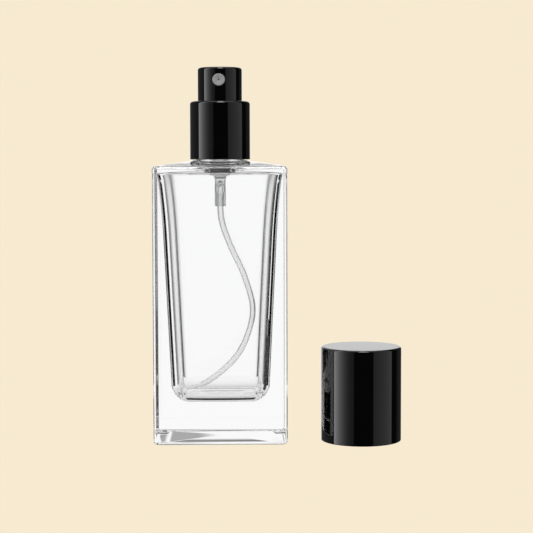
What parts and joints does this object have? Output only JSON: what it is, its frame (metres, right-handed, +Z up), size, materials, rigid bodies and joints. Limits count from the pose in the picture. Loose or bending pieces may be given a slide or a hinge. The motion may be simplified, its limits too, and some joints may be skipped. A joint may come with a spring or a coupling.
{
  "type": "spray bottle",
  "caption": "Clear rectangular glass spray bottle for aftershave, with a glossy black crimped pump and a round black cap standing beside it.",
  "frame": {"origin": "on the table under the middle of the bottle, below its recessed base panel", "axes": "+Z up along the pump's axis, the spray leaves towards -Y, the cap stands on the +X side"},
  "size_m": [0.0734, 0.0407, 0.111],
  "materials": {
    "clear_glass": "clear, colourless, polished",
    "gasket_rubber": "matt grey",
    "aluminium": "plain pressed sheet",
    "turret_plastic": "natural white, moulded",
    "seal_rubber": "matt black",
    "collar_black": "high gloss black",
    "frosted_plastic": "natural translucent, moulded",
    "tube_plastic": "translucent, extruded",
    "ball_steel": "polished steel",
    "spring_steel": "drawn stainless wire",
    "preload_steel": "drawn stainless wire",
    "piston_plastic": "soft natural plastic",
    "valve_plastic": "natural, moulded",
    "stem_plastic": "natural white, moulded",
    "button_black": "high gloss black",
    "core_black": "plain black, moulded",
    "nozzle_grey": "light grey, satin",
    "cap_black": "high gloss black",
    "liner_black": "plain black, moulded"
  },
  "bodies": {
    "bottle": {"bottle_glass": "clear_glass", "neck_gasket": "gasket_rubber", "crimp_ferrule": "aluminium", "turret": "turret_plastic", "stem_gasket": "seal_rubber", "collar": "collar_black", "pump_housing": "frosted_plastic", "dip_tube": "tube_plastic", "return_spring": "spring_steel"},
    "plunger": {"stem": "stem_plastic", "valve_core": "valve_plastic", "preload_spring": "preload_steel"},
    "piston": {"piston": "piston_plastic"},
    "button": {"actuator_shell": "button_black", "actuator_core": "core_black", "nozzle_insert": "nozzle_grey"},
    "inlet_ball": {"inlet_ball": "ball_steel"},
    "cap": {"cap_shell": "cap_black", "cap_liner": "liner_black"}
  },
  "joints": [
    {"name": "pump_stroke", "type": "slide", "parent": "bottle", "child": "plunger", "axis": [0, 0, -1], "range_m": [0, 0.0046], "stiffness_N_per_m": 1500, "springref_m": -0.002, "deforming": ["return_spring"]},
    {"name": "actuator_turn", "type": "hinge", "parent": "plunger", "child": "button", "pos_m": [0, 0, 0.0992], "axis": [0, 0, 1], "continuous": true},
    {"name": "piston_slip", "type": "slide", "parent": "plunger", "child": "piston", "axis": [0, 0, 1], "range_m": [0, 0.0005], "stiffness_N_per_m": 800, "springref_m": -0.0006, "deforming": ["preload_spring"]},
    {"name": "inlet_lift", "type": "slide", "parent": "bottle", "child": "inlet_ball", "axis": [0, 0, 1], "range_m": [0, 0.0006]},
    {"name": "cap_lift", "type": "slide", "parent": "bottle", "child": "cap", "axis": [0, 0, 1], "range_m": [0, 0.115]}
  ]
}
